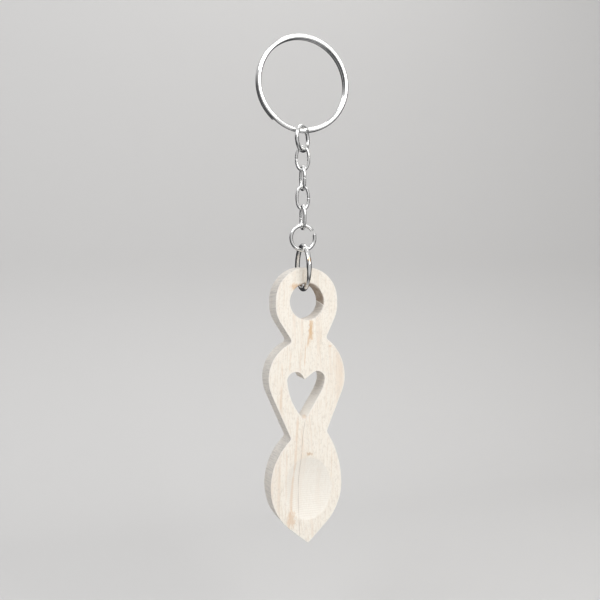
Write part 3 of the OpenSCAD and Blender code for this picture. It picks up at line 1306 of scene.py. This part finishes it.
    def rim(self, grow: float) -> np.ndarray:
        """Draws the bowl's rim.

        Args:
            grow: How far outside the true rim, in millimetres.

        Returns:
            The loop's points.
        """
        a = np.linspace(0, 2 * math.pi, 220, endpoint=False)
        ray = np.column_stack([np.cos(a), np.sin(a)])
        low, high = np.zeros(len(a)), np.full(len(a), self.dish_l)
        middle = np.array([0.0, self.dish_z])
        for _ in range(40):
            at = (low + high) / 2
            deep = self.hollow(middle + ray * at[:, None]) > 0
            low, high = np.where(deep, at, low), np.where(deep, high, at)
        return middle + ray * (low + grow)[:, None]

    def wall(
        self, skin: Skin, loop: np.ndarray, away: bool, ease: np.ndarray, seed: float
    ) -> dict[Side, np.ndarray]:
        """Builds a sawn wall with its softened edges.

        Args:
            skin: Where the faces go.
            loop: The wall's loop, about the hole's middle.
            away: True if the wall faces out of its loop.
            ease: Radius of its edges at each point.
            seed: Picks the wall's own roughness.

        Returns:
            The vertex numbers of the loop on each face.
        """
        normal = loop_normals(loop, away)
        half = self.wood / 2
        levels = np.linspace(-1, 1, self.wall_rows)
        curve = np.radians([0, 22, 45, 68, 90])
        rows, places = [], []
        for side in (Side.FRONT, Side.BACK):
            ordered = curve[::-1] if side is Side.FRONT else curve
            if side is Side.BACK:
                places += [(float(v), 0.0, Side.BACK) for v in levels[1:-1]]
            places += [(float(side.value), float(c), side) for c in ordered]
        run = np.arange(len(loop)) * self.spacing
        for level, bend, side in places:
            inset = ease * (1 - math.cos(bend))
            y = level * (half - ease)
            if abs(level) == 1:
                y = y + side.value * ease * math.sin(bend)
            at = np.column_stack([run, y, np.full(len(run), seed)])
            blade = roughness_at(at * [1, 0.12, 1], 2.6, seed) * 0.02
            blade += roughness_at(at * [1, 0.12, 1], 7.5, seed + 3) * 0.012
            lumps = roughness_at(np.column_stack([loop, np.full(len(loop), seed)]), 0.3, seed) * 0.04
            proud = np.minimum(blade + lumps - self.saw_loss, self.saw_proud) * math.cos(bend)
            flat = loop - normal * inset[:, None] + normal * proud[:, None]
            points = np.column_stack([flat[:, 0], y, flat[:, 1] + self.hole_z])
            count = len(points)
            share = 1 - bend / (math.pi / 2)
            first = skin.add(
                points,
                sawn=np.full(count, min(1.0, share * 1.6)),
                carved=np.zeros(count),
                edge=np.clip(0.22 / ease, 0, 1) ** 2 * (bend > 0),
                ridge=np.zeros(count),
            )
            rows.append(first + np.arange(count))
        clockwise = loop_area(loop) < 0
        skin.quads(rows if clockwise == away else rows[::-1], closed=True)
        return {Side.FRONT: rows[0], Side.BACK: rows[-1]}

    def face(self, skin: Skin, side: Side, rings: list[np.ndarray]) -> None:
        """Fills one face between its rings.

        Args:
            skin: Where the faces go, with the walls in it already.
            side: The face.
            rings: Vertex numbers of the outline, the hole and the heart on this face.
        """
        have = np.vstack(skin.vertices)
        loops = [have[ring][:, [0, 2]] - [0, self.hole_z] for ring in rings]
        low, high = loops[0].min(axis=0), loops[0].max(axis=0)
        grid = self.grid(low, high, self.face_step, self.face_step * 0.87)
        extra: list[np.ndarray] = []
        if side is Side.FRONT:
            rim = self.rim(0.0)
            extra = [self.rim(g) for g in (0.28, 0.12, 0.0, -0.12, -0.3)]
            middle = np.array([0, self.dish_z])
            reach = np.array([self.dish_w, self.dish_l]) / 2
            dish = self.grid(middle - reach, middle + reach, self.dish_step, self.cutter_pitch / 6)
            grid = grid[~inside(grid, self.rim(0.4))]
            grid = np.vstack([grid, dish[inside(dish, self.rim(-0.38))]])
        grid = grid[self.on_board(grid, loops)]
        margin = np.vstack(loops)
        grid = grid[gap_to(grid, margin) > self.edge_room]
        loose = np.vstack([*extra, grid]) if extra else grid
        points = np.vstack([*loops, loose])
        edges, first = [], 0
        for loop in loops:
            numbers = first + np.arange(len(loop))
            edges += list(zip(numbers.tolist(), np.roll(numbers, -1).tolist()))
            first += len(loop)
        flat, _, triangles, sources, _, _ = delaunay_2d_cdt(
            [Vector(p) for p in points], edges, [], 0, 1e-7
        )
        flat = np.array([tuple(p) for p in flat])
        known = np.concatenate(rings)
        number = np.full(len(flat), -1)
        for i, came in enumerate(sources):
            for source in came:
                if source < len(known):
                    number[i] = known[source]
        new = np.flatnonzero(number < 0)
        spots = flat[new]
        y = np.full(len(new), side.value * self.wood / 2)
        carved, ridge = np.zeros(len(new)), np.zeros(len(new))
        if side is Side.FRONT:
            y += self.carved(spots)
            ridge = self.ridges(spots)
            carved = np.clip(self.hollow(spots) / 0.12, 0, 1)
        edge = np.exp(-gap_to(spots, margin) / 0.22)
        if side is Side.FRONT:
            edge = np.maximum(edge, 0.7 * np.exp(-gap_to(spots, rim) / 0.15))
        place = np.column_stack([spots[:, 0], y, spots[:, 1] + self.hole_z])
        number[new] = skin.add(
            place, sawn=np.zeros(len(new)), carved=carved, edge=edge, ridge=ridge
        ) + np.arange(len(new))
        corners = np.array(triangles)
        corners = number[corners[self.on_board(flat[corners].mean(axis=1), loops)]]
        skin.faces.append(corners if side is Side.FRONT else corners[:, ::-1])

    @staticmethod
    def on_board(points: np.ndarray, loops: list[np.ndarray]) -> np.ndarray:
        """Tells which points lie on the board, clear of its two openings."""
        outline, *openings = loops
        return inside(points, outline) & ~inside(points, openings[0]) & ~inside(points, openings[1])

    @staticmethod
    def grid(low: np.ndarray, high: np.ndarray, across: float, up: float) -> np.ndarray:
        """Lays out staggered points.

        Args:
            low: Lowest corner.
            high: Highest corner.
            across: Spacing along the first number.
            up: Spacing along the second.

        Returns:
            The points.
        """
        x, z = np.meshgrid(np.arange(low[0], high[0], across), np.arange(low[1], high[1], up))
        x = x + (np.arange(x.shape[0]) % 2)[:, None] * across / 2
        return np.column_stack([x.ravel(), z.ravel()])

    def skin(self) -> Skin:
        """Shapes the spoon."""
        made = Skin()
        outline, hole, heart = self.outline(), self.hanging_hole(), self.heart()
        ease = []
        for i, loop in enumerate((outline, hole, heart)):
            at = np.column_stack([loop, np.full(len(loop), 4.0 * i)])
            worn = self.edge_ease + self.edge_uneven[0] * roughness_at(at, 0.9, 5)
            worn += self.edge_uneven[1] * roughness_at(at, 4.0, 9)
            ease.append(np.maximum(worn, 0.05))
        # The bail has rubbed the top of the hole round
        up = hole[:, 1] / (self.hole / 2)
        ease[1] += self.rubbed * np.clip((up - 0.55) / 0.35, 0, 1)
        # The drill tore the hole's lower rim
        share = np.clip(-(hole @ [-0.4, 0.9]) / (self.hole / 2), 0, 1)
        at = np.column_stack([hole, np.zeros(len(hole))])
        coarse, fine = np.abs(roughness_at(at, 2.3, 21)), np.abs(roughness_at(at, 6.0, 27))
        ease[1] += share * (self.torn[0] * coarse + self.torn[1] * fine)
        rings = [
            self.wall(made, outline, True, ease[0], 1.0),
            self.wall(made, hole, False, ease[1], 31.0),
            self.wall(made, heart, False, ease[2], 61.0),
        ]
        for side in Side:
            self.face(made, side, [ring[side] for ring in rings])
        return made


# ---------------------------------------------------------------- studio


@dataclass(frozen=True)
class SoftLight:
    """One square soft light that looks at the charm, its place and side in millimetres."""

    name: str
    place: tuple[float, float, float]
    size: float
    power: float
    colour: Colour

    def hang(self) -> None:
        """Adds the light to the scene."""
        data = bpy.data.lights.new(self.name, "AREA")
        data.shape, data.size, data.energy, data.color = "SQUARE", self.size * MM, self.power, self.colour
        lamp = bpy.data.objects.new(self.name, data)
        lamp.location = Vector(self.place) * MM
        aim = Vector((0, 0, -0.075)) - lamp.location
        lamp.rotation_euler = aim.to_track_quat("-Z", "Y").to_euler()
        bpy.context.scene.collection.objects.link(lamp)


@dataclass
class Studio:
    """A plain pale sweep, soft lights and the camera."""

    floor_drop: float = 45.0
    wall_away: float = 260.0
    sweep_r: float = 120.0
    half_width: float = 900.0
    near_edge: float = -700.0
    wall_height: float = 900.0
    room: float = 0.85
    bright_room: Colour = (1.0, 1.0, 1.0)
    dark_room: Colour = (0.05, 0.05, 0.055)
    paper: Colour = (0.60, 0.59, 0.58)
    floor_colour: Colour = (0.60, 0.595, 0.59)
    azimuth: float = -19.1
    elevation: float = 2.72
    roll: float = -0.3
    camera_away: float = 196.0
    camera_target: tuple[float, float, float] = (-0.9, 0.0, -67.2)
    lens: float = 44.85
    lamps: tuple[SoftLight, ...] = (
        SoftLight("key", (160, -430, 210), 300, 1.24, (1.0, 0.98, 0.955)),
        SoftLight("fill", (-290, -200, 310), 260, 0.9, (0.95, 0.97, 1.0)),
        SoftLight("top", (40, 60, 420), 220, 0.18, (1.0, 1.0, 1.0)),
        SoftLight("back", (90, 215, 300), 200, 0.45, (1.0, 0.99, 0.97)),
    )

    def backdrop(self) -> bpy.types.Object:
        """Builds the pale floor, which curves up behind the charm.

        Returns:
            The floor's object.
        """
        bottom = float(SOLID_BOX[0][2]) / MM - self.floor_drop
        start, r = self.wall_away - self.sweep_r, self.sweep_r
        near = [(y, bottom) for y in np.arange(self.near_edge, start, 60.0)]
        turn = np.radians(np.linspace(0, 90, 24))
        bend = [(start + r * math.sin(a), bottom + r * (1 - math.cos(a))) for a in turn]
        line = np.array(near + bend + [(self.wall_away, bottom + self.wall_height)])
        made = Skin()
        rows = []
        for y, z in line:
            xs = np.linspace(-self.half_width, self.half_width, 5)
            rows.append(made.add(np.column_stack([xs, np.full(5, y), np.full(5, z)])) + np.arange(5))
        made.quads(rows, closed=False)
        floor = made.mesh("studio_floor")
        material, _, shader = blank_material("pale_paper")
        shader.inputs["Base Color"].default_value = (*self.floor_colour, 1)
        shader.inputs["Roughness"].default_value = 0.9
        floor.data.materials.append(material)
        # Bright wire would fade into the paper if it mirrored it
        floor.visible_glossy = False
        return floor

    def sky(self) -> None:
        """Makes the room's soft light: bright above and in front, faint below and dark behind."""
        world = bpy.data.worlds.new("soft_room")
        bpy.context.scene.world = world
        world.use_nodes = True
        graph = Graph(world.node_tree)
        way = graph.node("SeparateXYZ", {0: graph.node("TexCoord").outputs["Generated"]})
        side, depth, up = way.outputs[:3]
        above = graph.step(up, 0.05, 0.6, 0.0, 0.8)
        front = graph.times(graph.step(depth, -0.85, -0.25, 1.0, 0.0), graph.step(up, -1.0, -0.4))
        # A dark shape in front breaks up what the wire mirrors
        aside = graph.compute("ABSOLUTE", graph.plus(side, 0.33))
        dark = graph.times(graph.step(aside, 0.1, 0.22, 1.0, 0.0), front)
        lit = graph.compute("MAXIMUM", above, graph.times(front, 0.85))
        lit = graph.compute("MAXIMUM", lit, graph.step(up, -0.97, -0.7, 0.5, 0.0))
        lit = graph.minus(lit, graph.times(dark, 0.5))
        shade = graph.blend(lit, self.dark_room, self.bright_room)
        seen = graph.node("LightPath").outputs["Is Camera Ray"]
        shade = graph.blend(seen, shade, self.paper)
        glow = graph.node("Background", {"Color": shade, "Strength": self.room})
        graph.feed(graph.node("OutputWorld").inputs["Surface"], glow.outputs[0])

    def camera(self) -> None:
        """Stands the camera in front, a little to the left and above."""
        azimuth, elevation, roll = np.radians([self.azimuth, self.elevation, self.roll]).tolist()
        level = Vector((-math.sin(azimuth), math.cos(azimuth), 0.0)) * math.cos(elevation)
        look = level - Vector((0.0, 0.0, math.sin(elevation)))
        right = look.cross(Vector((0, 0, 1))).normalized()
        up = right.cross(look)
        across = right * math.cos(roll) + up * math.sin(roll)
        above = up * math.cos(roll) - right * math.sin(roll)
        data = bpy.data.cameras.new("camera")
        data.sensor_width, data.lens = 36.0, self.lens
        data.clip_start, data.clip_end = 0.001, 20
        seen = bpy.data.objects.new("camera", data)
        turn = Matrix((across, above, -look)).transposed().to_4x4()
        place = Vector(self.camera_target) - look * self.camera_away
        seen.matrix_world = Matrix.Translation(place * MM) @ turn
        bpy.context.scene.collection.objects.link(seen)
        bpy.context.scene.camera = seen

    def build(self) -> None:
        """Sets up the whole studio."""
        self.backdrop()
        self.sky()
        for lamp in self.lamps:
            lamp.hang()
        self.camera()
        view = bpy.context.scene.view_settings
        view.view_transform = "Standard"
        LOG.info("studio: floor, lights and camera")


def charm() -> list[HungPiece]:
    """Lists the charm's pieces from the key ring down."""
    ring = NickelPlate("nickel_key_ring", polish=0.12, dulled=0.12)
    jump = NickelPlate("nickel_jump_ring", polish=0.14, dulled=0.16, scratch_scale=1.4)
    chain = NickelPlate("nickel_chain", polish=0.16, dulled=0.2, scratch_scale=1.8)
    bail_low, bail_high = solid_box("bail_ring")
    spot = (-0.32, float(bail_low[1]) + 0.35, float(bail_high[2]) - 4.2)
    bail = NickelPlate("nickel_bail", polish=0.10, dulled=0.12, spot=spot)
    spoon_high = solid_box("spoon")[1]
    wire_slot = "nickel_wire"
    lower_jump = WireRing(
        "lower_jump_ring", jump, wire_slot, wire=0.9, turn=90, gap=1.0, gap_at=27, sprung=0.14, offset=0.08
    )
    return [
        SplitRing("split_ring", ring, "nickel_split_ring"),
        WireRing("top_jump_ring", jump, wire_slot, wire=1.0, turn=46, gap_at=140),
        OvalLink("chain_link_1", chain, wire_slot, turn=-66),
        OvalLink("chain_link_2", chain, wire_slot, turn=0, seam_side=-1),
        OvalLink("chain_link_3", chain, wire_slot, turn=90),
        OvalLink("chain_link_4", chain, wire_slot, turn=0),
        lower_jump,
        WireRing("bail_ring", bail, wire_slot, wire=1.3, turn=3.5, gap_at=60),
        Spoon("spoon", Sycamore(hole_z=float(spoon_high[2]) - Spoon.crown - Spoon.hole / 2), "sycamore"),
    ]


def main() -> None:
    """Builds the charm and its studio."""
    logging.basicConfig(level=logging.INFO, format="%(name)s: %(message)s")
    Studio().build()
    for piece in charm():
        piece.build()


if __name__ == "__main__":
    main()
